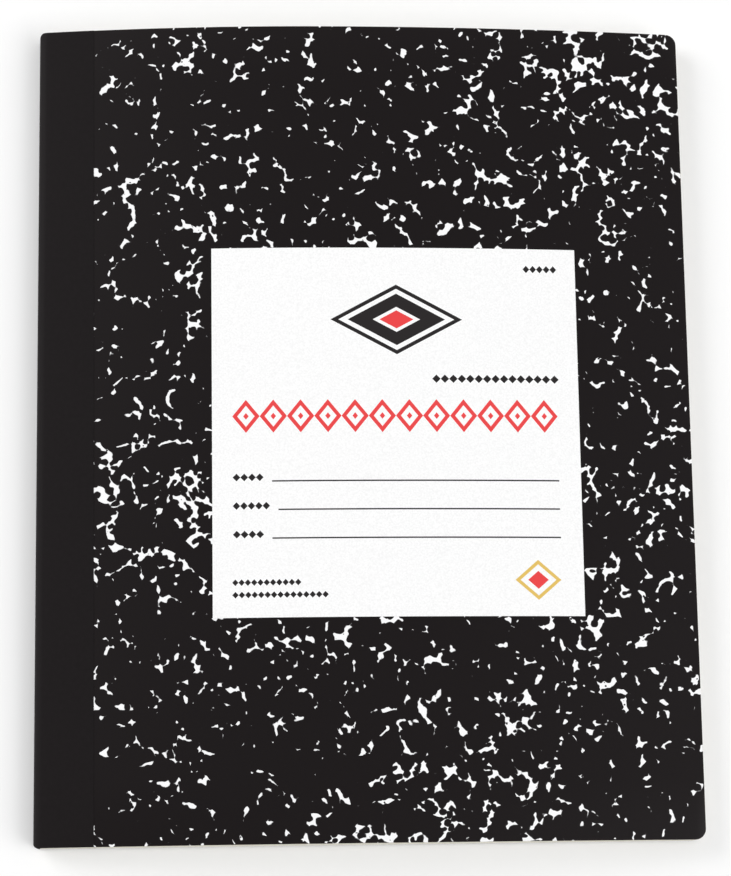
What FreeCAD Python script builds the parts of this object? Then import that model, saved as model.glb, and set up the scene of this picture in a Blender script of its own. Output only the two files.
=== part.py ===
import FreeCAD, Part
import math
import os

import Sketcher

# Composition notebook, 48 leaves, lying shut on its back cover.
# 24 sheets are folded together, sewn through the fold with one thread and laid between
# two card boards. A black cloth tape round the spine joins the boards to the leaves.
# A square paper label is glued to the front board.
#
# Frame of the model, in millimetres: the origin is under the middle of the closed book,
# +X runs from the spine to the fore-edge, +Y to the head, +Z from back cover to front.
# Every sketch counts x from the outermost face of the spine, so each piece is placed
# half a cover width towards -X.

SIZES = {
    "cover_height": (215.9, "head to tail of the trimmed book"),
    "cover_width": (171.5, "spine to fore-edge of the trimmed book"),
    "board_thick": (0.55, "card of the two covers"),
    "board_inset": (1.5, "spine face to the start of the boards"),
    "fore_radius": (2.8, "rounded corners at the fore-edge"),
    "spine_radius": (1.3, "rounded corners at the two ends of the spine"),
    "crown_rise": (6.2, "how far the front cover bows up"),
    "crown_place": (75.0, "spine face to the highest line of the bow"),
    "leaf_count": (48, "leaves, two to each folded sheet"),
    "leaf_thick": (0.1, "one leaf"),
    "leaf_gap": (0.2, "clearance between a cover and the next leaf"),
    "page_setback": (0.4, "leaves drawn in from the cover edges"),
    "parting_count": (6, "places where the sheets lie parted, the middle one counted"),
    "parting_gap": (0.08, "width of a parting at the cut edges"),
    "parting_depth": (0.3, "how deep a parting shows at the cut edges"),
    "tape_thick": (0.2, "cloth tape"),
    "tape_reach": (15.0, "spine face to the edge of the tape on a cover"),
    "label_width": (96.0, "label along the width of the cover"),
    "label_height": (97.5, "label along the height of the cover"),
    "label_thick": (0.12, "label paper"),
    "label_shift": (0.4, "label glued this far to the fore-edge of centre"),
    "label_drop": (1.9, "label glued this far below the middle"),
    "thread_thick": (0.5, "sewing thread"),
    "stitch_length": (9.0, "one stitch along the fold"),
    "stitch_pairs": (11, "stitches outside the fold, each with one inside"),
    "trim_allowance": (2.0, "how far a trimming cut runs past the paper"),
}

doc = FreeCAD.newDocument("composition_notebook")
sheet = doc.addObject("Spreadsheet::Sheet", "sizes")
for row, (alias, (value, meaning)) in enumerate(SIZES.items(), start=1):
    sheet.set(f"A{row}", meaning)
    sheet.set(f"B{row}", str(value))
    sheet.setAlias(f"B{row}", alias)
doc.recompute()

# Heights and places that follow from the sizes, written as expressions.
# The fold is a half circle: its centre is the inside of the middle sheet.
half_leaves = "(sizes.leaf_count * sizes.leaf_thick / 2)"
middle = f"({half_leaves} + sizes.leaf_gap + sizes.board_thick)"
cover_top = f"(2 * {middle})"
fold_centre = f"(sizes.tape_thick + {half_leaves})"
head = "(sizes.cover_height / 2)"
page_edge = "(sizes.cover_width - sizes.page_setback)"


def number(expression):
    """Present value of an expression over the sheet, as a plain number."""
    value = sheet.evalExpression(expression)
    return float(getattr(value, "Value", value))


def new_body(name):
    """An empty body whose x counts from the outermost face of the spine."""
    body = doc.addObject("PartDesign::Body", name)
    body.Label = name
    body.setExpression("Placement.Base.x", "-sizes.cover_width / 2")
    return body


def arc_side(start, end, centre_x, turn):
    """Arc from start to end about a centre at centre_x, and whether it was turned round."""
    (x0, y0), (x1, y1) = start, end
    rise = (x1 - x0) * (x1 + x0 - 2 * centre_x) / (2 * (y1 - y0))
    centre_y = (y0 + y1) / 2 + rise
    circle = Part.Circle(FreeCAD.Vector(centre_x, centre_y, 0), FreeCAD.Vector(0, 0, 1),
                         math.hypot(x0 - centre_x, y0 - centre_y))
    first = math.atan2(y0 - centre_y, x0 - centre_x)
    last = math.atan2(y1 - centre_y, x1 - centre_x)
    if turn < 0:
        first, last = last, first
    if last < first:
        last += 2 * math.pi
    return Part.ArcOfCircle(circle, first, last), turn < 0


def outline(body, name, plane, corners, arcs=None):
    """Closed outline on a plane of the body, every corner held by two expressions.

    arcs maps the number of a side to (expression for the x of its centre, turn), where
    turn is 1 for an arc that runs anticlockwise and -1 for one that runs clockwise.
    """
    arcs = arcs or {}
    sketch = body.newObject("Sketcher::SketchObject", name)
    origin = body.Origin.OriginFeatures
    sketch.AttachmentSupport = [(next(o for o in origin if o.Role == plane), "")]
    sketch.MapMode = "FlatFace"
    points = [(number(x), number(y)) for x, y in corners]
    ends = []
    for side, start in enumerate(points):
        end = points[(side + 1) % len(points)]
        if side in arcs:
            shape, reversed_arc = arc_side(start, end, number(arcs[side][0]), arcs[side][1])
        else:
            shape = Part.LineSegment(FreeCAD.Vector(*start, 0), FreeCAD.Vector(*end, 0))
            reversed_arc = False
        index = sketch.addGeometry(shape, False)
        ends.append((index, 2, 1) if reversed_arc else (index, 1, 2))
    for side, (index, begin, _) in enumerate(ends):
        before, _, finish = ends[side - 1]
        sketch.addConstraint(Sketcher.Constraint("Coincident", before, finish, index, begin))
        for kind, expression in zip(("DistanceX", "DistanceY"), corners[side]):
            bind(sketch, kind, index, begin, expression)
        if side in arcs:
            bind(sketch, "DistanceX", index, 3, arcs[side][0])
    return sketch


def bind(sketch, kind, index, point, expression):
    """Hold one point of a sketch at an expression, counted from the sketch's origin."""
    held = Sketcher.Constraint(kind, -1, 1, index, point, number(expression))
    place = sketch.addConstraint(held)
    sketch.setExpression(f"Constraints[{place}]", expression)


def pad(body, sketch, length):
    """Sketch thickened by an expression, half to each side of its plane."""
    feature = body.newObject("PartDesign::Pad", f"{sketch.Name}_pad")
    feature.Profile = sketch
    feature.SideType = "Symmetric"
    feature.setExpression("Length", length)
    return feature


def cut_through(body, sketch):
    """Everything above and below the sketch taken away from the body."""
    before = volume_now(body)
    feature = body.newObject("PartDesign::Pocket", f"{sketch.Name}_cut")
    feature.Profile = sketch
    feature.Type = "ThroughAll"
    feature.SideType = "Symmetric"
    if not volume_now(body) < before:
        raise RuntimeError(f"{feature.Name} cuts nothing")
    return feature


def volume_now(body):
    """Volume of the body as built so far."""
    doc.recompute()
    return body.Shape.Volume


def crowned_layer(body, name, start, end, bottom, top):
    """Layer from start to end in x between two copies of the cover's bow."""
    arcs = {}
    corners = [(start, bottom), ("sizes.crown_place", f"{bottom} + sizes.crown_rise"),
               (end, bottom), (end, top),
               ("sizes.crown_place", f"{top} + sizes.crown_rise"), (start, top)]
    for side, turn in ((0, -1), (1, -1), (3, 1), (4, 1)):
        arcs[side] = ("sizes.crown_place", turn)
    return pad(body, outline(body, name, "XZ_Plane", corners, arcs), "sizes.cover_height")


def rectangle(left, right, low, high):
    """Corners of a rectangle from four expressions."""
    return [(left, low), (right, low), (right, high), (left, high)]


def round_fore_corners(body):
    """The two upright edges at the fore-edge rounded, as the corner cutter leaves them."""
    doc.recompute()
    base = body.Tip
    far = base.Shape.BoundBox.XMax
    play = 1e-4    # mm, looseness of a bounding box
    upright = []
    for count, edge in enumerate(base.Shape.Edges, start=1):
        box = edge.BoundBox
        if far - box.XMin < play and box.YLength < play:
            upright.append(f"Edge{count}")
    if len(upright) != 2:
        raise RuntimeError(f"{body.Name}: {len(upright)} upright edges at the fore-edge")
    feature = body.newObject("PartDesign::Fillet", f"{body.Name}_corners")
    feature.Base = (base, upright)
    feature.setExpression("Radius", "sizes.fore_radius")
    return feature


def round_spine_ends(body):
    """Head and tail of the spine rounded in plan by one cut and its mirror image."""
    past = f"({head} + sizes.trim_allowance)"
    start = f"({head} - sizes.spine_radius)"
    corners = [("-sizes.trim_allowance", start), ("0", start), ("sizes.spine_radius", head),
               ("sizes.spine_radius", past), ("-sizes.trim_allowance", past)]
    sketch = outline(body, f"{body.Name}_end", "XY_Plane", corners,
                     {1: ("sizes.spine_radius", -1)})
    first = cut_through(body, sketch)
    both = body.newObject("PartDesign::Mirrored", f"{body.Name}_ends")
    both.Originals = [first]
    both.MirrorPlane = (next(o for o in body.Origin.OriginFeatures if o.Role == "XZ_Plane"), [""])
    body.Tip = both
    return both


def make_sewing_thread():
    """One thread run in and out of the fold: a stitch outside, a stitch inside, and so on."""
    body = new_body("sewing_thread")
    half = "(sizes.thread_thick / 2)"
    tail = "(-sizes.stitch_pairs * sizes.stitch_length)"
    inward = f"({tail} + sizes.stitch_length)"
    outward = f"({tail} + 2 * sizes.stitch_length)"
    outer, inner = "sizes.tape_thick", fold_centre
    corners = [(outer, f"{tail} + {half}"), (outer, f"{inward} + {half}"),
               (inner, f"{inward} + {half}"), (inner, f"{outward} - {half}"),
               (outer, f"{outward} - {half}"), (outer, f"{outward} + {half}"),
               (f"{inner} + sizes.thread_thick", f"{outward} + {half}"),
               (f"{inner} + sizes.thread_thick", f"{inward} - {half}"),
               (f"{outer} + sizes.thread_thick", f"{inward} - {half}"),
               (f"{outer} + sizes.thread_thick", f"{tail} + {half}")]
    sketch = outline(body, "stitch_pair", "XY_Plane", corners)
    sketch.setExpression("AttachmentOffset.Base.z", middle)
    stitch = pad(body, sketch, "sizes.thread_thick")
    doc.recompute()
    row = body.newObject("PartDesign::LinearPattern", "stitch_row")
    row.Originals = [stitch]
    row.Direction = (sketch, ["V_Axis"])
    row.Mode = "Spacing"
    row.setExpression("Offset", "2 * sizes.stitch_length")
    row.setExpression("Occurrences", "sizes.stitch_pairs")
    body.Tip = row
    return body


def leaf_line(height):
    """Three points along a leaf, from the fold to the fore-edge, at a height of the stack.

    The lowest leaf lies flat and the highest follows the cover, so the bow grows evenly.
    """
    share = f"(({height} - {middle} + {half_leaves}) / (2 * {half_leaves}))"
    crest = f"({height} + sizes.crown_rise * {share})"
    return [(fold_centre, height), ("sizes.crown_place", crest), (page_edge, height)]


def parting_section(body, name, radius):
    """Outline of the room between two nested sheets whose fold has this radius."""
    wide = f"({radius} + sizes.parting_gap / 2)"
    narrow = f"({radius} - sizes.parting_gap / 2)"
    lower_out, upper_out = leaf_line(f"({middle} - {wide})"), leaf_line(f"({middle} + {wide})")
    lower_in, upper_in = leaf_line(f"({middle} - {narrow})"), leaf_line(f"({middle} + {narrow})")
    corners = lower_out[::-1] + upper_out + upper_in[::-1] + lower_in
    bow = "sizes.crown_place"
    arcs = {0: (bow, 1), 1: (bow, 1), 2: (fold_centre, -1), 3: (bow, -1), 4: (bow, -1),
            6: (bow, 1), 7: (bow, 1), 8: (fold_centre, 1), 9: (bow, -1), 10: (bow, -1)}
    return outline(body, name, "XZ_Plane", corners, arcs)


def middle_parting_section(body, name):
    """Outline of the room inside the innermost sheet."""
    lower = leaf_line(f"({middle} - sizes.parting_gap / 2)")
    upper = leaf_line(f"({middle} + sizes.parting_gap / 2)")
    bow = "sizes.crown_place"
    arcs = {0: (bow, -1), 1: (bow, -1), 3: (bow, 1), 4: (bow, 1)}
    return outline(body, name, "XZ_Plane", lower + upper[::-1], arcs)


def make_partings():
    """The thin dark lines between groups of sheets, open only along the cut edges."""
    bands = []
    count = int(number("sizes.parting_count"))
    for place in range(count):
        name = f"parting_{place + 1}"
        body = new_body(name)
        if place:
            section = parting_section(body, f"{name}_section", f"({half_leaves} * {place} / {count})")
        else:
            section = middle_parting_section(body, f"{name}_section")
        pad(body, section, "sizes.cover_height")
        bands.append(body)
    together = doc.addObject("Part::MultiFuse", "all_partings")
    together.Shapes = bands
    doc.recompute()
    return cut_out("open_partings", together, make_closed_heart())


def make_closed_heart():
    """Where the sheets lie tight on each other: all but a narrow strip at the cut edges."""
    body = new_body("closed_heart")
    edge = f"({page_edge} - sizes.parting_depth)"
    reach = f"({head} - sizes.page_setback - sizes.parting_depth)"
    radius = "(sizes.fore_radius - sizes.parting_depth)"
    start = "(-sizes.trim_allowance)"
    corners = [(start, f"(-{reach})"), (f"({edge} - {radius})", f"(-{reach})"),
               (edge, f"(-{reach} + {radius})"), (edge, f"({reach} - {radius})"),
               (f"({edge} - {radius})", reach), (start, reach)]
    turn = (f"({edge} - {radius})", 1)
    sketch = outline(body, "heart_plan", "XY_Plane", corners, {1: turn, 3: turn})
    pad(body, sketch, f"2 * ({cover_top} + sizes.crown_rise)")
    doc.recompute()
    return body


def make_page_block(thread):
    """Folded leaves: half-round fold, flat below, bowed above, trimmed on three sides."""
    body = new_body("folded_leaves")
    low, high = f"({middle} - {half_leaves})", f"({middle} + {half_leaves})"
    corners = [(fold_centre, low), (page_edge, low), (page_edge, high),
               ("sizes.crown_place", f"{high} + sizes.crown_rise"), (fold_centre, high)]
    arcs = {2: ("sizes.crown_place", 1), 3: ("sizes.crown_place", 1), 4: (fold_centre, 1)}
    sketch = outline(body, "leaf_section", "XZ_Plane", corners, arcs)
    pad(body, sketch, "sizes.cover_height - 2 * sizes.page_setback")
    round_fore_corners(body)
    round_spine_ends(body)
    doc.recompute()
    parted = cut_out("parted_leaves", body, make_partings())
    return cut_out("page_block", parted, thread)


def cut_out(name, base, tool):
    """Base with the room that the tool takes up removed."""
    result = doc.addObject("Part::Cut", name)
    result.Label = name
    result.Base = base
    result.Tool = tool
    doc.recompute()
    if not result.Shape.Volume < base.Shape.Volume:
        raise RuntimeError(f"{name}: {tool.Name} takes nothing out")
    return result


def make_spine_tape(thread):
    """The tape where it lies on the fold and the thread, between the two boards."""
    body = new_body("fold_cloth")
    reach = f"({fold_centre} - sizes.board_inset)"
    outer_radius = f"({half_leaves} + sizes.tape_thick)"
    outer = f"sqrt(pow({outer_radius}; 2) - pow({reach}; 2))"
    inner = f"sqrt(pow({half_leaves}; 2) - pow({reach}; 2))"
    edge = "sizes.board_inset"
    corners = [(edge, f"{middle} + {outer}"), (edge, f"{middle} - {outer}"),
               (edge, f"{middle} - {inner}"), (edge, f"{middle} + {inner}")]
    sketch = outline(body, "fold_tape", "XZ_Plane", corners,
                     {0: (fold_centre, 1), 2: (fold_centre, -1)})
    pad(body, sketch, "sizes.cover_height")
    round_spine_ends(body)
    doc.recompute()
    return cut_out("spine_tape", body, thread)


def make_front_tape():
    """The tape's wing on the front board, pressed into the card so that it lies flush."""
    body = new_body("front_tape")
    crowned_layer(body, "front_wing", "sizes.board_inset", "sizes.cover_width",
                  f"({cover_top} - sizes.tape_thick)", cover_top)
    low, high = f"(-{head} - sizes.trim_allowance)", f"({head} + sizes.trim_allowance)"
    past = "(sizes.cover_width + sizes.trim_allowance)"
    waste = rectangle("sizes.tape_reach", past, low, high)
    cut_through(body, outline(body, "front_wing_edge", "XY_Plane", waste))
    return body


def make_front_board(wing):
    """Front cover: one bowed card with the rebate that the tape was pressed into."""
    body = new_body("bowed_card")
    crowned_layer(body, "front_card", "sizes.board_inset", "sizes.cover_width",
                  f"({cover_top} - sizes.board_thick)", cover_top)
    round_fore_corners(body)
    return cut_out("front_board", body, wing)


def make_cover_label():
    """Square-cornered paper label that follows the bow of the front board."""
    body = new_body("cover_label")
    crowned_layer(body, "label_paper", "sizes.board_inset", "sizes.cover_width",
                  cover_top, f"({cover_top} + sizes.label_thick)")
    centre = "((sizes.tape_reach + sizes.cover_width) / 2 + sizes.label_shift)"
    left, right = f"({centre} - sizes.label_width / 2)", f"({centre} + sizes.label_width / 2)"
    low = "(-sizes.label_drop - sizes.label_height / 2)"
    high = "(-sizes.label_drop + sizes.label_height / 2)"
    past = "(sizes.cover_width + sizes.trim_allowance)"
    foot, top = f"(-{head} - sizes.trim_allowance)", f"({head} + sizes.trim_allowance)"
    for name, waste in (("label_spine_side", rectangle("0", left, foot, top)),
                        ("label_fore_side", rectangle(right, past, foot, top)),
                        ("label_tail_side", rectangle("0", past, foot, low)),
                        ("label_head_side", rectangle("0", past, high, top))):
        cut_through(body, outline(body, name, "XY_Plane", waste))
    return body


def make_flat_layer(name, end, thickness):
    """Flat layer of the back cover, from the boards' spine edge to end, on z = 0."""
    body = new_body(name)
    plan = rectangle("sizes.board_inset", end, f"(-{head})", head)
    sketch = outline(body, f"{name}_plan", "XY_Plane", plan)
    feature = body.newObject("PartDesign::Pad", f"{name}_pad")
    feature.Profile = sketch
    feature.setExpression("Length", thickness)
    doc.recompute()
    return body


def make_back_board(wing):
    """Back cover: one flat card that the notebook lies on."""
    body = make_flat_layer("flat_card", "sizes.cover_width", "sizes.board_thick")
    round_fore_corners(body)
    return cut_out("back_board", body, wing)


thread = make_sewing_thread()
doc.recompute()
front_tape = make_front_tape()
back_tape = make_flat_layer("back_tape", "sizes.tape_reach", "sizes.tape_thick")
pieces = [thread, make_page_block(thread), make_spine_tape(thread),
          front_tape, make_front_board(front_tape), make_cover_label(),
          back_tape, make_back_board(back_tape)]
doc.recompute()

for item in doc.Objects:
    if "Invalid" in item.State or "Error" in item.State:
        raise RuntimeError(f"{item.Name} did not build: {item.State}")

os.makedirs("parts", exist_ok=True)
for piece in pieces:
    shape = piece.Shape
    if shape.isNull() or not shape.isValid():
        raise RuntimeError(f"{piece.Label} has no valid shape")
    shape.exportStep(f"parts/{piece.Label}.step")
    box = shape.BoundBox
    print(f"{piece.Label}: {len(shape.Solids)} solid, {shape.Volume:.2f} mm3, "
          f"x {box.XMin:.2f} to {box.XMax:.2f}, y {box.YMin:.2f} to {box.YMax:.2f}, "
          f"z {box.ZMin:.2f} to {box.ZMax:.2f}")
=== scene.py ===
import math

import bmesh
import bpy
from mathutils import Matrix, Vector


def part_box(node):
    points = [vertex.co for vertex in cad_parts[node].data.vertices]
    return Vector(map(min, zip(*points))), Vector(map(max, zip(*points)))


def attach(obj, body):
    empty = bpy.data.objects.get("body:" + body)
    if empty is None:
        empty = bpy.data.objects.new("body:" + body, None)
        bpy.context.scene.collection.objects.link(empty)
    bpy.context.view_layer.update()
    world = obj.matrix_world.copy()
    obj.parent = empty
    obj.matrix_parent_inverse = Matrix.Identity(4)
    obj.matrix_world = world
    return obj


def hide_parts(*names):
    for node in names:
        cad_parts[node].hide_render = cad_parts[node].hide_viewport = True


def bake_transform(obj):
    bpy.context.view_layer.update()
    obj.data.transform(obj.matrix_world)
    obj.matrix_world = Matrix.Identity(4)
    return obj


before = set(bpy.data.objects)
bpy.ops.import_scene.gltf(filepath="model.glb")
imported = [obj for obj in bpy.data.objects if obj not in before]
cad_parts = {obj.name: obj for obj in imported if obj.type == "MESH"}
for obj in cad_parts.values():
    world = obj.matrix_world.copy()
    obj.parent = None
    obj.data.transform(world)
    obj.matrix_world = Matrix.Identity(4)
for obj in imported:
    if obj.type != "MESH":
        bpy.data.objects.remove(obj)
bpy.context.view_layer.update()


# Leaves: 24 sheets of uncoated writing paper, folded once and laid one inside the other.
# They are sewn through the fold and trimmed on three sides, so only cut edges show.
# The lowest lies flat and the highest follows the cover, so the bow grows evenly.
MM = 0.001
SHEETS = 24
GROUP = 4                     # sheets that cling together between two partings
LEAF = 0.1 * MM
PARTING = 0.11 * MM           # air between two groups where a parting stands open
PARTING_RUN = 16 * MM         # length over which a parting opens and closes
PARTING_DEPTH = 0.3 * MM      # inside of this the sheets lie evenly
GROUP_STEP = 7.3              # along the noise's fourth direction, so that each group parts on its own
SIDE_STEP = 0.3               # of that step, so that the leaves above and below the fold differ too
SHEET_AIR = 0.004 * MM        # air between two sheets of a group
TRIM_PLAY = 0.0006            # the most by which a sheet is cut short, as a share of its length
CROWN_PLACE = 75 * MM         # spine face to the highest line of the bow
FORE_RADIUS = 2.8 * MM        # corners rounded by the corner cutter
SPINE_RADIUS = 1.3 * MM       # the two ends of the spine
ARM_STEPS = 22                # along one leaf
EDGE_STEPS = 12               # along the fore-edge
CORNER_STEPS = 6              # round a corner
FOLD_STEPS = 12               # round the fold
RULE_PITCH = 8.7 * MM         # wide ruling, 11/32 inch
RULE_WIDTH = 0.25 * MM
MARGIN_PLACE = 31.75 * MM     # red margin line, 1 1/4 inch from the fold
HEAD_SPACE = 24 * MM          # bare paper above the first rule
SHARP_EDGE = math.radians(35)

leaves_low, leaves_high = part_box("page_block")
cover_low, cover_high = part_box("front_board")
spine_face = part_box("spine_tape")[0].x
head = cover_high.y
half_stack = SHEETS * LEAF
stack_middle = leaves_low.z + half_stack
bow_rise = leaves_high.z - leaves_low.z - 2 * half_stack
fold_x = leaves_low.x + half_stack
crown_x = spine_face + CROWN_PLACE
group_pitch = half_stack * GROUP / SHEETS
sheet_pitch = (group_pitch - PARTING) / GROUP


def linear(hex_code):
    """An sRGB hex value as a linear colour with full alpha."""
    parts = [int(hex_code[place:place + 2], 16) / 255 for place in (1, 3, 5)]
    return (*[p / 12.92 if p <= 0.04045 else ((p + 0.055) / 1.055) ** 2.4 for p in parts], 1)


def add(tree, kind, inputs=(), **settings):
    """One node with its settings. Inputs, by name or in order, take values, sockets or nodes."""
    node = tree.nodes.new(kind)
    for name, value in settings.items():
        setattr(node, name, value)
    shown = [socket for socket in node.inputs if socket.enabled]
    pairs = inputs.items() if isinstance(inputs, dict) else enumerate(inputs)
    for key, value in pairs:
        socket = shown[key] if isinstance(key, int) else next(s for s in shown if s.name == key)
        if isinstance(value, bpy.types.Node):
            value = next(s for s in value.outputs if s.enabled)
        if isinstance(value, bpy.types.NodeSocket):
            tree.links.new(value, socket)
        else:
            socket.default_value = value
    return node


def bow(x, start, end):
    """Height of the bow at x, for a layer that reaches from start to end."""
    run = crown_x - start if x < crown_x else end - crown_x
    radius = (run ** 2 + bow_rise ** 2) / (2 * bow_rise)
    return bow_rise - radius + math.sqrt(radius ** 2 - (x - crown_x) ** 2)


def stations(start, end):
    """Places along x from start to end, close together where the fore-edge corner turns."""
    turn = end - FORE_RADIUS
    straight = [start + (turn - start) * step / ARM_STEPS for step in range(ARM_STEPS)]
    angles = [math.pi / 2 * step / CORNER_STEPS for step in range(CORNER_STEPS + 1)]
    return straight + [turn + FORE_RADIUS * math.sin(angle) for angle in angles]


def half_height(x, end, full):
    """Half of the head to tail length at x, which shrinks round the fore-edge corner."""
    into = max(0.0, x - (end - FORE_RADIUS))
    return full - FORE_RADIUS + math.sqrt(max(0.0, FORE_RADIUS ** 2 - into ** 2))


def new_material(name):
    """An empty node material and its output node."""
    material = bpy.data.materials.new(name)
    material.use_nodes = True
    material.node_tree.nodes.clear()
    return material, material.node_tree, material.node_tree.nodes.new("ShaderNodeOutputMaterial")


def writing_paper():
    """Uncoated writing paper with pale blue rules and a red margin: matt, faintly fibrous."""
    material, tree, output = new_material("writing_paper")
    place = add(tree, "ShaderNodeTexCoord").outputs["Object"]
    parts = add(tree, "ShaderNodeSeparateXYZ", (place,))
    fibre = add(tree, "ShaderNodeTexNoise", {"Vector": place, "Scale": 1 / (0.6 * MM), "Detail": 3.0})
    paper = add(tree, "ShaderNodeMix", {"Factor": fibre, "A": linear("#f6f5f0"), "B": linear("#efeee8")},
                data_type="RGBA")
    drop = add(tree, "ShaderNodeMath", (leaves_high.y - HEAD_SPACE, parts.outputs["Y"]), operation="SUBTRACT")
    wave = add(tree, "ShaderNodeMath", (drop, RULE_PITCH / 2), operation="PINGPONG")
    rule = add(tree, "ShaderNodeMath", (wave, RULE_WIDTH / 2), operation="LESS_THAN")
    below = add(tree, "ShaderNodeMath", (drop, -RULE_WIDTH), operation="GREATER_THAN")
    ruled = add(tree, "ShaderNodeMath", (rule, below), operation="MULTIPLY")
    blue = add(tree, "ShaderNodeMix", {"Factor": ruled, "A": paper, "B": linear("#a9c3e0")}, data_type="RGBA")
    margin = add(tree, "ShaderNodeMath", (parts.outputs["X"], spine_face + MARGIN_PLACE, RULE_WIDTH / 2),
                 operation="COMPARE")
    red = add(tree, "ShaderNodeMix", {"Factor": margin, "A": blue, "B": linear("#e5989a")}, data_type="RGBA")
    bump = add(tree, "ShaderNodeBump", {"Strength": 0.15, "Distance": 0.02 * MM, "Height": fibre})
    shader = add(tree, "ShaderNodeBsdfPrincipled",
                 {"Base Color": red, "Roughness": 0.85, "IOR": 1.5, "Specular IOR Level": 0.3,
                  "Normal": bump})
    tree.links.new(shader.outputs[0], output.inputs["Surface"])
    return material


def cut_paper():
    """The guillotined edges of the same paper: a little darker, each sheet a slightly other tone."""
    material, tree, output = new_material("cut_paper")
    number = add(tree, "ShaderNodeAttribute", attribute_name="sheet")
    tone = add(tree, "ShaderNodeTexWhiteNoise", {"W": number.outputs["Fac"]}, noise_dimensions="1D")
    place = add(tree, "ShaderNodeTexCoord").outputs["Object"]
    drag = add(tree, "ShaderNodeTexNoise", {"Vector": place, "Scale": 1 / (4 * MM), "Detail": 4.0})
    both = add(tree, "ShaderNodeMath", (tone, drag), operation="MULTIPLY")
    colour = add(tree, "ShaderNodeMix", {"Factor": both, "A": linear("#f2f0e8"), "B": linear("#dad7cc")},
                 data_type="RGBA")
    shader = add(tree, "ShaderNodeBsdfPrincipled",
                 {"Base Color": colour, "Roughness": 0.9, "IOR": 1.5, "Specular IOR Level": 0.25})
    tree.links.new(shader.outputs[0], output.inputs["Surface"])
    return material


def folded_sheet():
    """One folded sheet before it is bent: its two skins along fold and leaves, with how each point turns."""
    arm = sorted(stations(fold_x, leaves_high.x) + [leaves_high.x - PARTING_DEPTH])
    fold = [math.pi * (step / FOLD_STEPS - 0.5) for step in range(1, FOLD_STEPS)]
    path = [(x, -math.pi / 2) for x in reversed(arm)] + [(fold_x, angle) for angle in fold]
    path += [(x, math.pi / 2) for x in arm]
    points, turns, bows, rims = [], [], [], []
    for x, angle in path:
        reach = half_height(x, leaves_high.x, leaves_high.y)
        inner = reach - PARTING_DEPTH
        steps = [inner * (2 * step / EDGE_STEPS - 1) for step in range(EDGE_STEPS + 1)]
        for skin in (-1, 1):
            for y in (-reach, *steps, reach):
                points.append((x - fold_x, y, 0))
                turns.append((math.cos(angle), math.sin(angle), skin))
                bows.append(bow(x, fold_x, leaves_high.x))
                rims.append(max(0, 1 - min(leaves_high.x - x, reach - abs(y)) / PARTING_DEPTH))
    row = EDGE_STEPS + 3
    faces, cuts = [], []
    for place in range(len(path)):
        a, b = 2 * row * place, 2 * row * (place + 1)
        if place + 1 < len(path):
            for skin in (0, row):
                faces += [(a + skin + y, b + skin + y, b + skin + y + 1, a + skin + y + 1)
                          for y in range(row - 1)]
                cuts += [False] * (row - 1)
            for y in (0, row - 1):
                faces.append((a + y, b + y, b + row + y, a + row + y))
                cuts.append(True)
        if place in (0, len(path) - 1):
            faces += [(a + y, a + y + 1, a + row + y + 1, a + row + y) for y in range(row - 1)]
            cuts += [True] * (row - 1)
    mesh = bpy.data.meshes.new("folded_sheets")
    mesh.from_pydata(points, [], faces)
    mesh.attributes.new("turn", "FLOAT_VECTOR", "POINT").data.foreach_set("vector", sum(turns, ()))
    mesh.attributes.new("bow", "FLOAT", "POINT").data.foreach_set("value", bows)
    mesh.attributes.new("rim", "FLOAT", "POINT").data.foreach_set("value", rims)
    mesh.attributes.new("cut", "BOOLEAN", "FACE").data.foreach_set("value", cuts)
    return mesh


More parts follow.
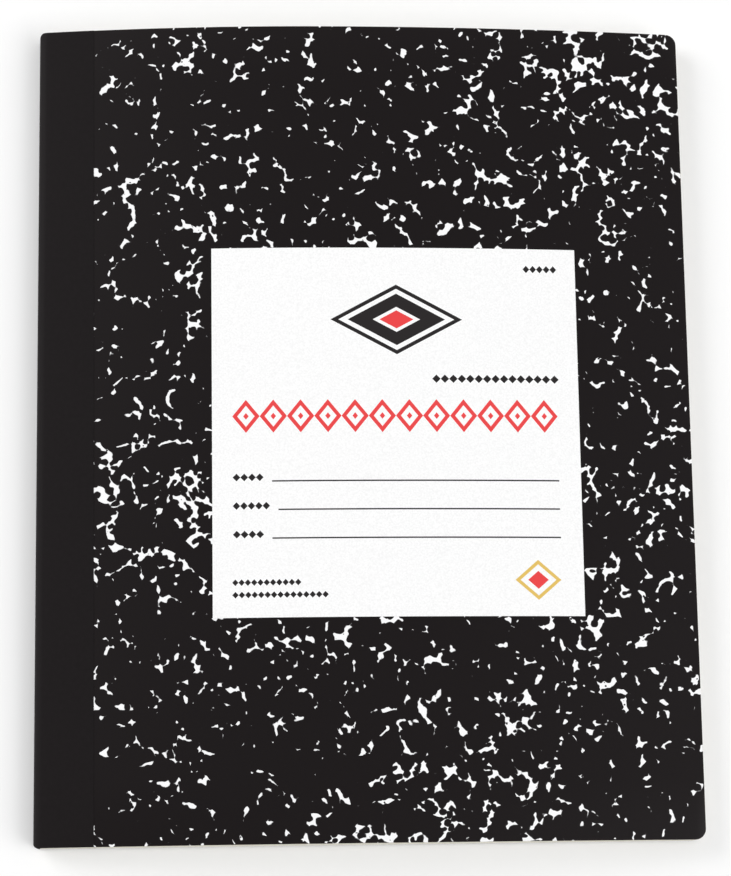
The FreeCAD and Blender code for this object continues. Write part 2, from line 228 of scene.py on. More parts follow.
def nested_sheets():
    """Tree that copies one folded sheet, gives each copy its radius round the fold, and bends it."""
    tree = bpy.data.node_groups.new("nested_sheets", "GeometryNodeTree")
    tree.interface.new_socket("Folded sheet", in_out="INPUT", socket_type="NodeSocketGeometry")
    for name, kind in (("Sheets", "Int"), ("Group", "Int"), ("Seed", "Int"), ("Leaf", "Float"),
                       ("Half leaf", "Float"), ("Group pitch", "Float"), ("Sheet pitch", "Float"),
                       ("First radius", "Float"), ("Half skin", "Float"), ("Parting run", "Float"),
                       ("Half stack", "Float"), ("Middle", "Float"), ("Fold", "Float"),
                       ("Trim play", "Float"), ("Spine end", "Float"), ("End radius", "Float"),
                       ("Head", "Float"), ("Paper", "Material"), ("Cut edge", "Material")):
        tree.interface.new_socket(name, in_out="INPUT", socket_type=f"NodeSocket{kind}")
    tree.interface.new_socket("Leaves", in_out="OUTPUT", socket_type="NodeSocketGeometry")
    given = add(tree, "NodeGroupInput").outputs

    points = add(tree, "GeometryNodePoints", {"Count": given["Sheets"]})
    copies = add(tree, "GeometryNodeInstanceOnPoints", {"Points": points, "Instance": given["Folded sheet"]})
    numbered = add(tree, "GeometryNodeStoreNamedAttribute",
                   {"Geometry": copies, "Name": "sheet", "Value": add(tree, "GeometryNodeInputIndex")},
                   domain="INSTANCE", data_type="INT")
    real = add(tree, "GeometryNodeRealizeInstances", {"Geometry": numbered})

    number = add(tree, "GeometryNodeInputNamedAttribute", {"Name": "sheet"}, data_type="INT")
    turn = add(tree, "GeometryNodeInputNamedAttribute", {"Name": "turn"}, data_type="FLOAT_VECTOR")
    lift = add(tree, "GeometryNodeInputNamedAttribute", {"Name": "bow"}, data_type="FLOAT")
    rim = add(tree, "GeometryNodeInputNamedAttribute", {"Name": "rim"}, data_type="FLOAT")
    turned = add(tree, "ShaderNodeSeparateXYZ", (turn,)).outputs
    place = add(tree, "ShaderNodeSeparateXYZ", (add(tree, "GeometryNodeInputPosition"),)).outputs
    play = add(tree, "FunctionNodeRandomValue",
               {"Min": 0.0, "Max": given["Trim play"], "ID": number, "Seed": given["Seed"]},
               data_type="FLOAT")
    size = add(tree, "ShaderNodeMath", (1.0, play), operation="SUBTRACT")

    # Radius of this skin of this sheet round the middle of the fold: even inside the book, and
    # clinging in groups along the cut edges, more here and less there.
    half = add(tree, "ShaderNodeMath", (turned["Z"], given["Half leaf"]), operation="MULTIPLY")
    counted = add(tree, "ShaderNodeMath", (number, 0.5), operation="ADD")
    even = add(tree, "ShaderNodeMath", (counted, given["Leaf"], half), operation="MULTIPLY_ADD")
    share = add(tree, "ShaderNodeMath", (number, given["Group"]), operation="DIVIDE")
    group = add(tree, "ShaderNodeMath", (share,), operation="FLOOR")
    within = add(tree, "ShaderNodeMath", (number, given["Group"]), operation="MODULO")
    inner = add(tree, "ShaderNodeMath", (group, given["Group pitch"], given["First radius"]),
                operation="MULTIPLY_ADD")
    centre = add(tree, "ShaderNodeMath", (within, given["Sheet pitch"], inner), operation="MULTIPLY_ADD")
    clung = add(tree, "ShaderNodeMath", (turned["Z"], given["Half skin"], centre), operation="MULTIPLY_ADD")
    along_edge = add(tree, "ShaderNodeVectorMath",
                     (add(tree, "GeometryNodeInputPosition"), given["Parting run"]), operation="DIVIDE")
    own = add(tree, "ShaderNodeMath", (turned["Y"], SIDE_STEP, group), operation="MULTIPLY_ADD")
    apart = add(tree, "ShaderNodeMath", (own, GROUP_STEP), operation="MULTIPLY")
    chance = add(tree, "ShaderNodeTexNoise", {"Vector": along_edge, "W": apart, "Scale": 1.0, "Detail": 2.0},
                 noise_dimensions="4D")
    opened = add(tree, "ShaderNodeMapRange", {"Value": chance, "From Min": 0.4, "From Max": 0.6})
    share_open = add(tree, "ShaderNodeMath", (opened, rim), operation="MULTIPLY")
    gap = add(tree, "ShaderNodeMath", (clung, even), operation="SUBTRACT")
    radius = add(tree, "ShaderNodeMath", (gap, share_open, even), operation="MULTIPLY_ADD")

    # Height: round the fold, then lifted by the bow in step with its place in the stack.
    rise = add(tree, "ShaderNodeMath", (radius, turned["Y"]), operation="MULTIPLY")
    above = add(tree, "ShaderNodeMath", (rise, given["Half stack"]), operation="DIVIDE")
    part = add(tree, "ShaderNodeMath", (above, 0.5, 0.5), operation="MULTIPLY_ADD")
    level = add(tree, "ShaderNodeMath", (rise, given["Middle"]), operation="ADD")
    height = add(tree, "ShaderNodeMath", (lift, part, level), operation="MULTIPLY_ADD")

    # Place along the leaf, and the head and tail held inside the rounded ends of the spine.
    along = add(tree, "ShaderNodeMath", (place["X"], size, given["Fold"]), operation="MULTIPLY_ADD")
    back = add(tree, "ShaderNodeMath", (radius, turned["X"]), operation="MULTIPLY")
    across = add(tree, "ShaderNodeMath", (along, back), operation="SUBTRACT")
    into = add(tree, "ShaderNodeMath", (given["Spine end"], across), operation="SUBTRACT")
    depth = add(tree, "ShaderNodeMath", (into, 0.0), operation="MAXIMUM")
    squared = add(tree, "ShaderNodeMath", (depth, depth), operation="MULTIPLY")
    whole = add(tree, "ShaderNodeMath", (given["End radius"], given["End radius"]), operation="MULTIPLY")
    rest = add(tree, "ShaderNodeMath", (whole, squared), operation="SUBTRACT")
    chord = add(tree, "ShaderNodeMath", (rest,), operation="SQRT")
    straight = add(tree, "ShaderNodeMath", (given["Head"], given["End radius"]), operation="SUBTRACT")
    limit = add(tree, "ShaderNodeMath", (straight, chord), operation="ADD")
    trimmed = add(tree, "ShaderNodeMath", (place["Y"], size), operation="MULTIPLY")
    reach = add(tree, "ShaderNodeMath", (trimmed,), operation="ABSOLUTE")
    held = add(tree, "ShaderNodeMath", (reach, limit), operation="MINIMUM")
    side = add(tree, "ShaderNodeMath", (place["Y"],), operation="SIGN")
    upright = add(tree, "ShaderNodeMath", (held, side), operation="MULTIPLY")

    bent = add(tree, "GeometryNodeSetPosition",
               {"Geometry": real, "Position": add(tree, "ShaderNodeCombineXYZ", (across, upright, height))})
    faced = add(tree, "GeometryNodeSetMaterial", {"Geometry": bent, "Material": given["Paper"]})
    cut = add(tree, "GeometryNodeInputNamedAttribute", {"Name": "cut"}, data_type="BOOLEAN")
    edged = add(tree, "GeometryNodeSetMaterial",
                {"Geometry": faced, "Selection": cut, "Material": given["Cut edge"]})
    add(tree, "NodeGroupOutput", (edged,))
    return tree


def finish_mesh(obj):
    """Modifiers applied, faces turned outwards and shaded smooth up to the sharp edges."""
    shown = obj.evaluated_get(bpy.context.evaluated_depsgraph_get())
    mesh = bpy.data.meshes.new_from_object(shown)
    obj.modifiers.clear()
    obj.data = mesh
    work = bmesh.new()
    work.from_mesh(mesh)
    bmesh.ops.recalc_face_normals(work, faces=work.faces)
    work.to_mesh(mesh)
    work.free()
    mesh.shade_smooth()
    mesh.set_sharp_from_angle(angle=SHARP_EDGE)
    return obj


leaves = bpy.data.objects.new("folded_sheets", folded_sheet())
bpy.context.scene.collection.objects.link(leaves)
sheet_tree = nested_sheets()
sheet_sizes = {
    "Sheets": SHEETS, "Group": GROUP, "Seed": 4, "Leaf": LEAF, "Half leaf": (LEAF - SHEET_AIR) / 2,
    "Group pitch": group_pitch, "Sheet pitch": sheet_pitch, "Parting run": PARTING_RUN,
    "First radius": (PARTING + sheet_pitch) / 2, "Half skin": (sheet_pitch - SHEET_AIR) / 2,
    "Half stack": half_stack, "Middle": stack_middle, "Fold": fold_x, "Trim play": TRIM_PLAY,
    "Spine end": spine_face + SPINE_RADIUS, "End radius": SPINE_RADIUS, "Head": head,
    "Paper": writing_paper(), "Cut edge": cut_paper(),
}
folding = leaves.modifiers.new("nested_sheets", "NODES")
folding.node_group = sheet_tree
for item in sheet_tree.interface.items_tree:
    if item.in_out == "INPUT" and item.name in sheet_sizes:
        folding[item.identifier] = sheet_sizes[item.name]
finish_mesh(leaves)
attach(leaves, "text_block")
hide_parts("page_block")


# Sewing thread: one plied cotton thread through the fold, long stitches outside and inside.
# It lies under the tape, and only its form from the frame is needed.
PLY_PITCH = 1.184 * MM        # from one ply to the next, along the thread
WAVE_TURN = 10                # radians that Blender's diagonal wave turns in one unit

cotton, tree, output = new_material("cotton_thread")
place = add(tree, "ShaderNodeTexCoord").outputs["Object"]
ply = add(tree, "ShaderNodeTexWave", {"Vector": place, "Scale": math.tau / (WAVE_TURN * PLY_PITCH)},
          bands_direction="DIAGONAL")
strands = add(tree, "ShaderNodeMix", {"Factor": ply, "A": linear("#d8d4c8"), "B": linear("#f1eee4")},
              data_type="RGBA")
twist = add(tree, "ShaderNodeBump", {"Strength": 0.6, "Distance": 0.08 * MM, "Height": ply})
thread_shader = add(tree, "ShaderNodeBsdfPrincipled",
                    {"Base Color": strands, "Roughness": 0.8, "Sheen Weight": 0.3, "Normal": twist})
tree.links.new(thread_shader.outputs[0], output.inputs["Surface"])
for thread_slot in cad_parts["sewing_thread"].material_slots:
    thread_slot.material = cotton


# Back board: one card of brown pulp, printed outside with the black and white marbling under a
# dull varnish and lined inside with plain paper. It is glued to the tape and trimmed with the leaves.
DROPS = (                     # mm: room for one drop, its radius, how far that varies, softness of its join
    (5.025, 1.688, 0.330, 0.000),
    (5.680, 3.079, 1.657, 0.798),
    (1.903, 1.043, 0.068, 0.798),
    (1.800, 0.108, 0.300, 0.100),
)
DROP_STEP = (37.0, 53.0)      # mm, moves each size of drop off the one before
STIR_SIZE = 9.578             # mm, one swirl of the stirred bath
STIR = 4.199                  # mm, how far a swirl carries the drops
STIR_ROUGHNESS = 0.26
DRIFT_SIZE = 68.675           # mm, one swell of denser or thinner white
DRIFT = 0.760                 # mm, how far a swell widens the white
DRIFT_PLACE = (11.0, 7.0, 0)
FRAY_SIZE = 2.135             # mm, one notch of the drops' frayed outline
FRAY = 1.405                  # mm, how deep a notch goes
FRAY_PLACE = (23.0, 91.0, 0)
INK_EDGE = 0.14               # mm, softness of the printed edge
FRONT_PLACE = (5200.0, -3100.0)   # mm, the piece of the printed sheet that the front was cut from
BACK_PLACE = (700.0, -40.0)
BOARD_RIM = 0.12 * MM         # width of the rounded and rubbed arris of the card
BOARD_ARRIS = 0.05 * MM       # and its depth
RUBBED_PATCH = 4.0            # mm, one place where the arris is rubbed
PULP_GRAINS = 1.4             # in 1 mm, as they show through the print
COLUMNS = 14                  # from tail to head
TAPE_THICK = 0.2 * MM
TAPE_PROUD = 0.08 * MM        # how far the tape stands above the print
TAPE_REACH = 15 * MM          # spine face to the tape's edge
TAPE_LEAN = 0.47 * MM         # the tape's edge leans this far in at the head and out at the tail

back_low, back_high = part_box("back_board")
tape_bed = spine_face + TAPE_REACH - TAPE_LEAN


def marbled_print(name, shift):
    """Offset print on card: white veins and flecks where black drops of four sizes leave room.

    A dull varnish gives it a low, even sheen, and the arris is rubbed down to the brown card.
    """
    material, tree, output = new_material(name)
    place = add(tree, "ShaderNodeTexCoord").outputs["Object"]
    spread = add(tree, "ShaderNodeMapping",
                 {"Vector": place, "Location": (*shift, 0), "Scale": (1 / MM, 1 / MM, 1 / MM)})
    stir = add(tree, "ShaderNodeTexNoise",
               {"Vector": spread, "Scale": 1 / STIR_SIZE, "Detail": 2.0, "Roughness": STIR_ROUGHNESS},
               noise_dimensions="2D")
    swirl = add(tree, "ShaderNodeVectorMath", (stir.outputs["Color"], (0.5, 0.5, 0.5)), operation="SUBTRACT")
    stirred = add(tree, "ShaderNodeVectorMath", (swirl, (STIR, STIR, STIR), spread), operation="MULTIPLY_ADD")
    room = None
    for count, (cell, radius, variety, join) in enumerate(DROPS, start=1):
        step = (DROP_STEP[0] * count, DROP_STEP[1] * count, 0)
        shifted = add(tree, "ShaderNodeVectorMath", (stirred, step), operation="ADD")
        drops = add(tree, "ShaderNodeTexVoronoi", {"Vector": shifted, "Scale": 1 / cell},
                    voronoi_dimensions="2D")
        chance = add(tree, "ShaderNodeSeparateColor", (drops.outputs["Color"],))
        drop_size = add(tree, "ShaderNodeMath", (chance, 2 * variety, radius - variety),
                        operation="MULTIPLY_ADD")
        away = add(tree, "ShaderNodeMath", (drops.outputs["Distance"], cell), operation="MULTIPLY")
        clear = add(tree, "ShaderNodeMath", (away, drop_size), operation="SUBTRACT")
        room = add(tree, "ShaderNodeMath", (room, clear, join), operation="SMOOTH_MIN") if room else clear
    for size, strength, apart in ((DRIFT_SIZE, DRIFT, DRIFT_PLACE), (FRAY_SIZE, FRAY, FRAY_PLACE)):
        shifted = add(tree, "ShaderNodeVectorMath", (spread, apart), operation="ADD")
        swell = add(tree, "ShaderNodeTexNoise", {"Vector": shifted, "Scale": 1 / size, "Detail": 1.0},
                    noise_dimensions="2D")
        centred = add(tree, "ShaderNodeMath", (swell, 0.5), operation="SUBTRACT")
        room = add(tree, "ShaderNodeMath", (centred, strength, room), operation="MULTIPLY_ADD")
    white = add(tree, "ShaderNodeMapRange",
                {"Value": room, "From Min": -INK_EDGE / 2, "From Max": INK_EDGE / 2},
                interpolation_type="SMOOTHSTEP")
    inked = add(tree, "ShaderNodeMix",
                {"Factor": white, "A": linear("#191415"), "B": linear("#f9f9fa")}, data_type="RGBA")

    rim = add(tree, "ShaderNodeAttribute", attribute_name="rim")
    rubbing = add(tree, "ShaderNodeTexNoise", {"Vector": spread, "Scale": 1 / RUBBED_PATCH, "Detail": 4.0})
    rubbed = add(tree, "ShaderNodeMapRange", {"Value": rubbing, "From Min": 0.45, "From Max": 0.65})
    worn = add(tree, "ShaderNodeMath", (rim.outputs["Fac"], rubbed), operation="MULTIPLY")
    colour = add(tree, "ShaderNodeMix",
                 {"Factor": worn, "A": inked, "B": linear("#7a6655")}, data_type="RGBA")
    pulp = add(tree, "ShaderNodeTexNoise", {"Vector": spread, "Scale": PULP_GRAINS, "Detail": 3.0})
    gloss = add(tree, "ShaderNodeMapRange", {"Value": pulp, "To Min": 0.48, "To Max": 0.58})
    bump = add(tree, "ShaderNodeBump", {"Strength": 0.12, "Distance": 0.02 * MM, "Height": pulp})
    shader = add(tree, "ShaderNodeBsdfPrincipled",
                 {"Base Color": colour, "Roughness": gloss, "IOR": 1.48, "Specular IOR Level": 0.18,
                  "Normal": bump})
    tree.links.new(shader.outputs[0], output.inputs["Surface"])
    return material


def card_core():
    """The cut edge of the card: grey-brown recycled pulp, matt and a little ragged."""
    material, tree, output = new_material("card_core")
    place = add(tree, "ShaderNodeTexCoord").outputs["Object"]
    pulp = add(tree, "ShaderNodeTexNoise", {"Vector": place, "Scale": 1 / (0.8 * MM), "Detail": 5.0})
    colour = add(tree, "ShaderNodeMix",
                 {"Factor": pulp, "A": linear("#6d6156"), "B": linear("#a1958a")}, data_type="RGBA")
    bump = add(tree, "ShaderNodeBump", {"Strength": 0.4, "Distance": 0.05 * MM, "Height": pulp})
    shader = add(tree, "ShaderNodeBsdfPrincipled",
                 {"Base Color": colour, "Roughness": 0.95, "Specular IOR Level": 0.2, "Normal": bump})
    tree.links.new(shader.outputs[0], output.inputs["Surface"])
    return material


def lining_paper():
    """The inside of the covers: plain off-white lining, matt, with the card's grain showing faintly."""
    material, tree, output = new_material("lining_paper")
    place = add(tree, "ShaderNodeTexCoord").outputs["Object"]
    grain = add(tree, "ShaderNodeTexNoise", {"Vector": place, "Scale": 1 / (1.5 * MM), "Detail": 4.0})
    colour = add(tree, "ShaderNodeMix",
                 {"Factor": grain, "A": linear("#efede4"), "B": linear("#e2dfd4")}, data_type="RGBA")
    bump = add(tree, "ShaderNodeBump", {"Strength": 0.2, "Distance": 0.03 * MM, "Height": grain})
    shader = add(tree, "ShaderNodeBsdfPrincipled",
                 {"Base Color": colour, "Roughness": 0.8, "Specular IOR Level": 0.3, "Normal": bump})
    tree.links.new(shader.outputs[0], output.inputs["Surface"])
    return material


def layer(name, places, reach, low, high, rim):
    """Closed layer over the places in x, between two heights, its rim drawn in on both faces.

    Its faces are numbered 0 above, 1 below and 2 round the edge.
    """
    points, rims = [], []
    for surface, inward in ((high, -1), (low, 1)):
        for count, x in enumerate(places):
            inner = reach(x) - BOARD_RIM
            steps = [inner * (2 * column / COLUMNS - 1) for column in range(COLUMNS + 1)]
            for y in [-reach(x), *steps, reach(x)]:
                at_rim = count in (0, len(places) - 1) or abs(y) == reach(x)
                points.append((x, y, surface(x) + inward * rim * at_rim))
                rims.append(float(at_rim))
    row = COLUMNS + 3
    under = row * len(places)
    faces, kinds = [], []
    for count in range(len(places) - 1):
        for column in range(row - 1):
            a, b = count * row + column, (count + 1) * row + column
            faces += [(a, b, b + 1, a + 1), (under + a, under + a + 1, under + b + 1, under + b)]
            kinds += [0, 1]
        a, b = count * row, (count + 1) * row
        c, d = a + row - 1, b + row - 1
        faces += [(under + a, under + b, b, a), (c, d, under + d, under + c)]
        kinds += [2, 2]
    for column in range(row - 1):
        a, b = column, under - row + column
        faces += [(a, a + 1, under + a + 1, under + a), (under + b, under + b + 1, b + 1, b)]
        kinds += [2, 2]
    mesh = bpy.data.meshes.new(name)
    mesh.from_pydata(points, [], faces)
    mesh.polygons.foreach_set("material_index", kinds)
    mesh.attributes.new("rim", "FLOAT", "POINT").data.foreach_set("value", rims)
    obj = bpy.data.objects.new(name, mesh)
    bpy.context.scene.collection.objects.link(obj)
    return obj


def board_places():
    """Places along x of a board, with its two arrises and the step where the tape's bed ends."""
    places = stations(cover_low.x, cover_high.x)
    places += [cover_low.x + BOARD_RIM, cover_high.x - BOARD_RIM, tape_bed - TAPE_PROUD, tape_bed]
    return sorted(places)


def bed_drop(x):
    """How far the card is pressed down under the tape, at x."""
    return TAPE_THICK - TAPE_PROUD if x < tape_bed else 0.0


def board_reach(x):
    """Half of the board's height at x."""
    return half_height(x, cover_high.x, head)


core = card_core()
lining = lining_paper()
back_board = layer("back_card", board_places(), board_reach,
                   lambda x: TAPE_PROUD + bed_drop(x), lambda x: back_high.z, BOARD_ARRIS)
for coat in (lining, marbled_print("marbled_print_back", BACK_PLACE), core):
    back_board.data.materials.append(coat)
finish_mesh(back_board)
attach(back_board, "back_cover")
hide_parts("back_board")


# Front board: the same card, printed in the same run. Handling has bowed it up between
# the tape and the fore-edge, and it keeps that bow.
board_thick = back_high.z - back_low.z
cover_level = cover_high.z - bow_rise


def cover_surface(x):
    """Height of the front board's printed face at x."""
    return cover_level + bow(x, cover_low.x, cover_high.x)


front_board = layer("front_card", board_places(), board_reach,
                    lambda x: cover_surface(x) - board_thick,
                    lambda x: cover_surface(x) - bed_drop(x), BOARD_ARRIS)
for coat in (marbled_print("marbled_print_front", FRONT_PLACE), lining, core):
    front_board.data.materials.append(coat)
finish_mesh(front_board)
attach(front_board, "front_cover")
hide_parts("front_board")


# Spine tape: one strip of black filled book cloth, glued round the fold and onto both boards.
# It is made here in two halves that meet along the middle of the spine, one for each hinge.
SPINE_FLAT = 1.0 * MM         # flat of the spine each side of its middle
TURN_END = 2.2 * MM           # spine face to where the tape lies flat on the board
TURN_PULL = 1.3 * MM          # how round the tape turns onto the board
TURN_STEPS = 10
WING_STEPS = 10
THREAD_PITCH = 0.42 * MM      # warp and weft of the cloth


def book_cloth():
    """Starch-filled cotton book cloth: fine plain weave nearly closed by the filling, low sheen."""
    material, tree, output = new_material("black_cloth")
    cloth = add(tree, "ShaderNodeUVMap", uv_map="cloth")
    parts = add(tree, "ShaderNodeSeparateXYZ", (cloth,)).outputs
    turns = math.tau / THREAD_PITCH
    warp = add(tree, "ShaderNodeMath", (parts["X"], turns), operation="MULTIPLY")
    weft = add(tree, "ShaderNodeMath", (parts["Y"], turns), operation="MULTIPLY")
    ridges = add(tree, "ShaderNodeMath", (add(tree, "ShaderNodeMath", (warp,), operation="SINE"),
                                          add(tree, "ShaderNodeMath", (weft,), operation="SINE")),
                 operation="MULTIPLY")
    slub = add(tree, "ShaderNodeTexNoise", {"Vector": cloth, "Scale": 1 / (1.2 * MM), "Detail": 3.0})
    weave = add(tree, "ShaderNodeMath", (ridges, 0.35, slub), operation="MULTIPLY_ADD")
    colour = add(tree, "ShaderNodeMix",
                 {"Factor": weave, "A": linear("#161213"), "B": linear("#1d191a")}, data_type="RGBA")
    bump = add(tree, "ShaderNodeBump", {"Strength": 0.25, "Distance": 0.03 * MM, "Height": weave})
    shader = add(tree, "ShaderNodeBsdfPrincipled",
                 {"Base Color": colour, "Roughness": 0.6, "IOR": 1.48, "Specular IOR Level": 0.12,
                  "Sheen Weight": 0.03, "Sheen Roughness": 0.5, "Normal": bump})
    tree.links.new(shader.outputs[0], output.inputs["Surface"])
    return material


def tape_profile(side, wing, y_share):
    """Outer line of one half of the tape, from the middle of the spine to its edge on the board."""
    flat_end = stack_middle + side * SPINE_FLAT
    end_x = spine_face + TURN_END
    slope = (wing(end_x + MM) - wing(end_x)) / MM
    pulls = ((spine_face, flat_end), (spine_face, flat_end + side * TURN_PULL),
             (end_x - TURN_PULL, wing(end_x) - TURN_PULL * slope), (end_x, wing(end_x)))
    line = [(spine_face, stack_middle)]
    for step in range(TURN_STEPS + 1):
        after = step / TURN_STEPS
        before = 1 - after
        shares = (before ** 3, 3 * before ** 2 * after, 3 * before * after ** 2, after ** 3)
        line.append(tuple(sum(s * pull[axis] for s, pull in zip(shares, pulls)) for axis in (0, 1)))
    edge = spine_face + TAPE_REACH - TAPE_LEAN * y_share
    for step in range(1, WING_STEPS + 1):
        x = end_x + (edge - end_x) * step / WING_STEPS
        line.append((x, wing(x)))
    return line


def tape_half(name, side, wing):
    """One half of the tape as a closed strip, side 1 for the front and -1 for the back."""
    outer, inner, lengths = [], [], []
    for column in range(COLUMNS + 1):
        share = 2 * column / COLUMNS - 1
        line = tape_profile(side, wing, share)
        run = 0.0
        for place, (x, z) in enumerate(line):
            before, after = line[max(place - 1, 0)], line[min(place + 1, len(line) - 1)]
            step = math.dist(before, after)
            across = (side * (after[1] - before[1]) / step, -side * (after[0] - before[0]) / step)
            run += math.dist(line[place - 1], (x, z)) if place else 0.0
            into = max(0.0, spine_face + SPINE_RADIUS - x)
            reach = head - SPINE_RADIUS + math.sqrt(SPINE_RADIUS ** 2 - into ** 2)
            outer.append((x, share * reach, z))
            inner.append((x + across[0] * TAPE_THICK, share * reach, z + across[1] * TAPE_THICK))
            lengths.append(run)
    row = len(tape_profile(side, wing, 0))
    under = len(outer)
    faces = []
    for column in range(COLUMNS):
        for place in range(row - 1):
            a, b = column * row + place, (column + 1) * row + place
            faces += [(a, a + 1, b + 1, b), (under + a, under + b, under + b + 1, under + a + 1)]
        for a, b in ((column * row, (column + 1) * row),
                     (column * row + row - 1, (column + 1) * row + row - 1)):
            faces.append((a, b, under + b, under + a))
    for place in range(row - 1):
        for a in (place, COLUMNS * row + place):
            faces.append((a, a + 1, under + a + 1, under + a))
    mesh = bpy.data.meshes.new(name)
    mesh.from_pydata(outer + inner, [], faces)
    cloth = mesh.uv_layers.new(name="cloth")
    for loop in mesh.loops:
        point = mesh.vertices[loop.vertex_index].co
        cloth.data[loop.index].uv = (lengths[loop.vertex_index % under], point.y)
    obj = bpy.data.objects.new(name, mesh)
    bpy.context.scene.collection.objects.link(obj)
    return obj


tape_cloth = book_cloth()
front_half = tape_half("front_cloth_tape", 1, lambda x: cover_surface(max(x, cover_low.x)) + TAPE_PROUD)
front_half.data.materials.append(tape_cloth)
finish_mesh(front_half)
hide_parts("spine_tape", "front_tape")
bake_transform(front_half)

back_half = tape_half("back_cloth_tape", -1, lambda x: back_low.z)
back_half.data.materials.append(tape_cloth)
finish_mesh(back_half)
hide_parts("back_tape")
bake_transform(back_half)


# Label: a square of smooth white paper, glued to the front board. It is printed in black, red
# and gold with three writing lines and plain lozenge ornaments.
INK_LINE = 0.38               # mm, thickness of a writing line
LINES = ((20.5, 15.4), (27.95, 17.0), (35.4, 15.4))   # mm: above the lower edge, start from the left
LINE_END = 90.2               # mm from the label's left edge
MOTTLE_SPOTS = 2.2            # in 1 mm
INK_BLACK, INK_RED, INK_GOLD = "#231f20", "#ea4244", "#e3bf62"
# Each row of lozenges: left, lower edge, width and height in mm, how many, and its bands of ink
# from the middle (0) to the points (1).
LOZENGES = (
    (5.25, 48.1, 85.0, 8.75, 12, ((0.0, 0.2, INK_RED), (0.64, 1.0, INK_RED))),
    (31.0, 68.8, 34.6, 18.7, 1, ((0.0, 0.26, INK_RED), (0.36, 0.74, INK_BLACK), (0.88, 1.0, INK_BLACK))),
    (78.0, 4.2, 12.0, 10.4, 1, ((0.0, 0.45, INK_RED), (0.78, 1.0, INK_GOLD))),
    (82.0, 91.0, 9.0, 2.0, 5, ((0.0, 1.0, INK_BLACK),)),
    (57.4, 61.2, 33.4, 2.2, 15, ((0.0, 1.0, INK_BLACK),)),
    (5.0, 8.2, 17.7, 1.7, 11, ((0.0, 1.0, INK_BLACK),)),
    (5.0, 5.0, 24.7, 1.7, 15, ((0.0, 1.0, INK_BLACK),)),
    (5.25, 35.4, 8.0, 2.0, 4, ((0.0, 1.0, INK_BLACK),)),
    (5.25, 27.95, 9.6, 2.0, 5, ((0.0, 1.0, INK_BLACK),)),
    (5.25, 20.5, 8.0, 2.0, 4, ((0.0, 1.0, INK_BLACK),)),
)

label_low, label_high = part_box("cover_label")


def label_print():
    """Offset printing on smooth wood-free paper: matt inks on a faintly mottled white."""
    material, tree, output = new_material("label_paper")
    place = add(tree, "ShaderNodeTexCoord").outputs["Object"]
    sized = add(tree, "ShaderNodeMapping",
                {"Vector": place, "Location": (-label_low.x / MM, -label_low.y / MM, 0),
                 "Scale": (1 / MM, 1 / MM, 1 / MM)})
    parts = add(tree, "ShaderNodeSeparateXYZ", (sized,)).outputs
    fibre = add(tree, "ShaderNodeTexNoise", {"Vector": sized, "Scale": MOTTLE_SPOTS, "Detail": 2.0})
    mottle = add(tree, "ShaderNodeMapRange", {"Value": fibre, "From Min": 0.3, "From Max": 0.7})
    colour = add(tree, "ShaderNodeMix",
                 {"Factor": mottle, "A": linear("#ffffff"), "B": linear("#f2f2f2")}, data_type="RGBA")
    for level, start in LINES:
        along = add(tree, "ShaderNodeMath", (parts["X"], (start + LINE_END) / 2, (LINE_END - start) / 2),
                    operation="COMPARE")
        upright = add(tree, "ShaderNodeMath", (parts["Y"], level, INK_LINE / 2), operation="COMPARE")
        inked = add(tree, "ShaderNodeMath", (along, upright), operation="MULTIPLY")
        colour = add(tree, "ShaderNodeMix",
                     {"Factor": inked, "A": colour, "B": linear(INK_BLACK)}, data_type="RGBA")
    for left, foot, width, height, number, bands in LOZENGES:
        within = add(tree, "ShaderNodeMath", (parts["X"], left + width / 2, width / 2), operation="COMPARE")
        start = add(tree, "ShaderNodeMath", (parts["X"], left), operation="SUBTRACT")
        swing = add(tree, "ShaderNodeMath", (start, width / number / 2), operation="PINGPONG")
        side = add(tree, "ShaderNodeMath", (swing, -2 * number / width, 1.0), operation="MULTIPLY_ADD")
        rise = add(tree, "ShaderNodeMath", (parts["Y"], foot + height / 2), operation="SUBTRACT")
        away = add(tree, "ShaderNodeMath", (rise,), operation="ABSOLUTE")
        reach = add(tree, "ShaderNodeMath", (away, 2 / height, side), operation="MULTIPLY_ADD")
        for inner, outer, ink in bands:
            ring = add(tree, "ShaderNodeMath", (reach, (inner + outer) / 2, (outer - inner) / 2),
                       operation="COMPARE")
            inked = add(tree, "ShaderNodeMath", (ring, within), operation="MULTIPLY")
            colour = add(tree, "ShaderNodeMix",
                         {"Factor": inked, "A": colour, "B": linear(ink)}, data_type="RGBA")
    bump = add(tree, "ShaderNodeBump", {"Strength": 0.1, "Distance": 0.02 * MM, "Height": mottle})
    shader = add(tree, "ShaderNodeBsdfPrincipled",
                 {"Base Color": colour, "Roughness": 0.7, "Specular IOR Level": 0.3, "Normal": bump})
    tree.links.new(shader.outputs[0], output.inputs["Surface"])
    return material


def label_edge():
    """The cut edge and the back of the label, plain white paper."""
    material, tree, output = new_material("label_edge")
    place = add(tree, "ShaderNodeTexCoord").outputs["Object"]
    fibre = add(tree, "ShaderNodeTexNoise", {"Vector": place, "Scale": 1 / (0.5 * MM)})
    colour = add(tree, "ShaderNodeMix",
                 {"Factor": fibre, "A": linear("#f7f7f6"), "B": linear("#e9e8e6")}, data_type="RGBA")
    shader = add(tree, "ShaderNodeBsdfPrincipled", {"Base Color": colour, "Roughness": 0.9})
    tree.links.new(shader.outputs[0], output.inputs["Surface"])
    return material


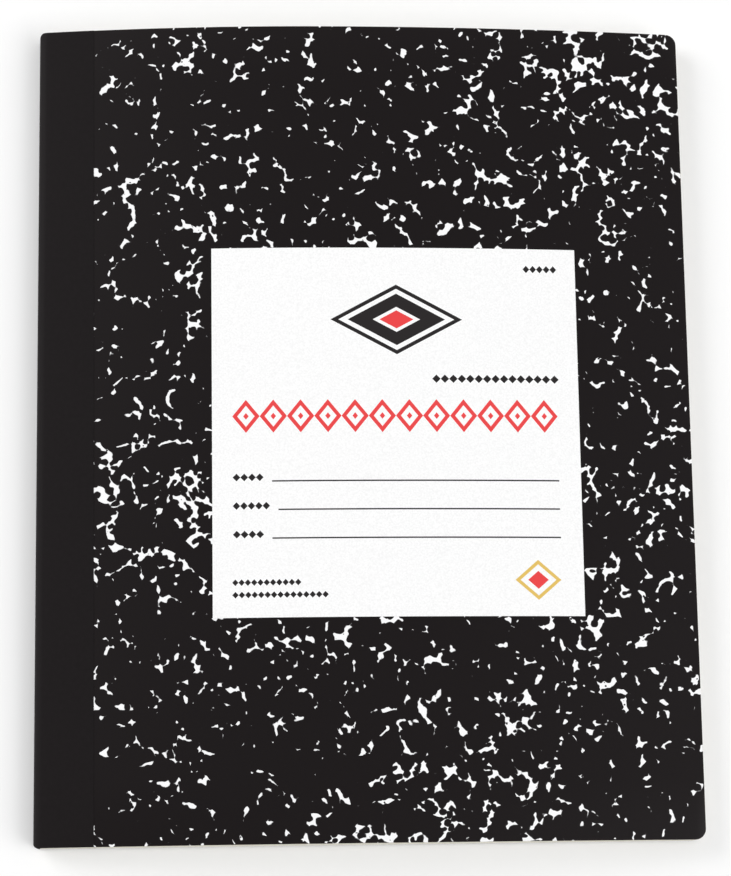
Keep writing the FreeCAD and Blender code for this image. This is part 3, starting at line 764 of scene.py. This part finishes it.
label_thick = label_high.z - cover_high.z
label_places = [label_low.x + (label_high.x - label_low.x) * step / ARM_STEPS
                for step in range(ARM_STEPS + 1)]
label = layer("paper_label", label_places, lambda x: (label_high.y - label_low.y) / 2,
              cover_surface, lambda x: cover_surface(x) + label_thick, 0.0)
for point in label.data.vertices:
    point.co.y += (label_low.y + label_high.y) / 2
label_back = label_edge()
for coat in (label_print(), label_back, label_back):
    label.data.materials.append(coat)
finish_mesh(label)
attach(label, "front_cover")
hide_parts("cover_label")


# Studio: a pale floor that fades into the white behind it, two soft boxes and even room light.
# The ceiling is dark, so black print seen from above stays black.
FLOOR_RADIUS = 0.9            # m
FLOOR_SIDES = 64
FLOOR_FADE = (0.35, 0.8)      # m from the notebook: whole floor, no floor
FLOOR_LIFT = 0.05             # light added to the floor for the camera alone
ROOM_LIGHT = 0.64
CEILING_FADE = (0.3, 0.75)    # upward share of a direction: all wall, all ceiling
CEILING_LEVEL = 0.08
SOFT_BOXES = (((-1.25, 0.7, 0.95), 1.0, 12.0), ((1.25, -0.55, 1.0), 1.2, 11.0))   # place m, side m, watts

floor_mesh = bpy.data.meshes.new("floor")
angles = [math.tau * step / FLOOR_SIDES for step in range(FLOOR_SIDES)]
rim_points = [(FLOOR_RADIUS * math.cos(angle), FLOOR_RADIUS * math.sin(angle), 0) for angle in angles]
floor_mesh.from_pydata(rim_points, [], [tuple(range(FLOOR_SIDES))])
floor = bpy.data.objects.new("floor", floor_mesh)
bpy.context.scene.collection.objects.link(floor)

floor_paint, tree, output = new_material("studio_floor")
place = add(tree, "ShaderNodeTexCoord").outputs["Object"]
away = add(tree, "ShaderNodeVectorMath", (place,), operation="LENGTH")
fade = add(tree, "ShaderNodeMapRange",
           {"Value": away.outputs["Value"], "From Min": FLOOR_FADE[0], "From Max": FLOOR_FADE[1]},
           interpolation_type="SMOOTHSTEP")
path = add(tree, "ShaderNodeLightPath").outputs
matt = add(tree, "ShaderNodeBsdfDiffuse", {"Color": linear("#f7f7f7")})
lift = add(tree, "ShaderNodeMath", (path["Is Camera Ray"], FLOOR_LIFT), operation="MULTIPLY")
glow = add(tree, "ShaderNodeEmission", {"Color": (1, 1, 1, 1), "Strength": lift})
lit = add(tree, "ShaderNodeAddShader", (matt, glow))
clear = add(tree, "ShaderNodeBsdfTransparent")
mixed = add(tree, "ShaderNodeMixShader", (fade, lit, clear))
tree.links.new(mixed.outputs[0], output.inputs["Surface"])
floor_mesh.materials.append(floor_paint)

world = bpy.data.worlds.new("studio")
bpy.context.scene.world = world
world.use_nodes = True
tree = world.node_tree
tree.nodes.clear()
path = add(tree, "ShaderNodeLightPath").outputs
seen = add(tree, "ShaderNodeMath", (path["Is Camera Ray"], path["Is Glossy Ray"]), operation="MAXIMUM")
seen = add(tree, "ShaderNodeMath", (seen, path["Is Transmission Ray"]), operation="MAXIMUM")
direction = add(tree, "ShaderNodeSeparateXYZ", (add(tree, "ShaderNodeTexCoord").outputs["Generated"],))
overhead = add(tree, "ShaderNodeMapRange",
               {"Value": direction.outputs["Z"], "From Min": CEILING_FADE[0], "From Max": CEILING_FADE[1],
                "To Min": 1.0, "To Max": CEILING_LEVEL})
backdrop = add(tree, "ShaderNodeBackground", {"Color": (1, 1, 1, 1), "Strength": overhead})
room_light = add(tree, "ShaderNodeBackground", {"Color": (1, 1, 1, 1), "Strength": ROOM_LIGHT})
chosen = add(tree, "ShaderNodeMixShader", (seen, room_light, backdrop))
add(tree, "ShaderNodeOutputWorld", {"Surface": chosen})

for number, (spot, side, power) in enumerate(SOFT_BOXES, start=1):
    light = bpy.data.lights.new(f"soft_box_{number}", "AREA")
    light.size = side
    light.energy = power
    soft_box = bpy.data.objects.new(light.name, light)
    soft_box.location = spot
    soft_box.rotation_euler = soft_box.location.to_track_quat("Z", "Y").to_euler()
    bpy.context.scene.collection.objects.link(soft_box)

bpy.context.scene.view_settings.view_transform = "Standard"


# Camera: a long lens high above the book, tipped a little towards the tail, as in the photograph.
LENS = 108.41                 # mm, on a frame 36 mm wide
FRAME_WIDTH = 36
CAMERA_PLACE = (-37.59, -133.30, 682.95)   # mm
CAMERA_TURN = (10.907, -3.119, -0.272)     # degrees about x, y and z

camera_data = bpy.data.cameras.new("camera")
camera_data.lens = LENS
camera_data.sensor_width = FRAME_WIDTH
camera = bpy.data.objects.new("camera", camera_data)
camera.location = [length * MM for length in CAMERA_PLACE]
camera.rotation_mode = "ZYX"
camera.rotation_euler = [math.radians(angle) for angle in CAMERA_TURN]
bpy.context.scene.collection.objects.link(camera)
bpy.context.scene.camera = camera
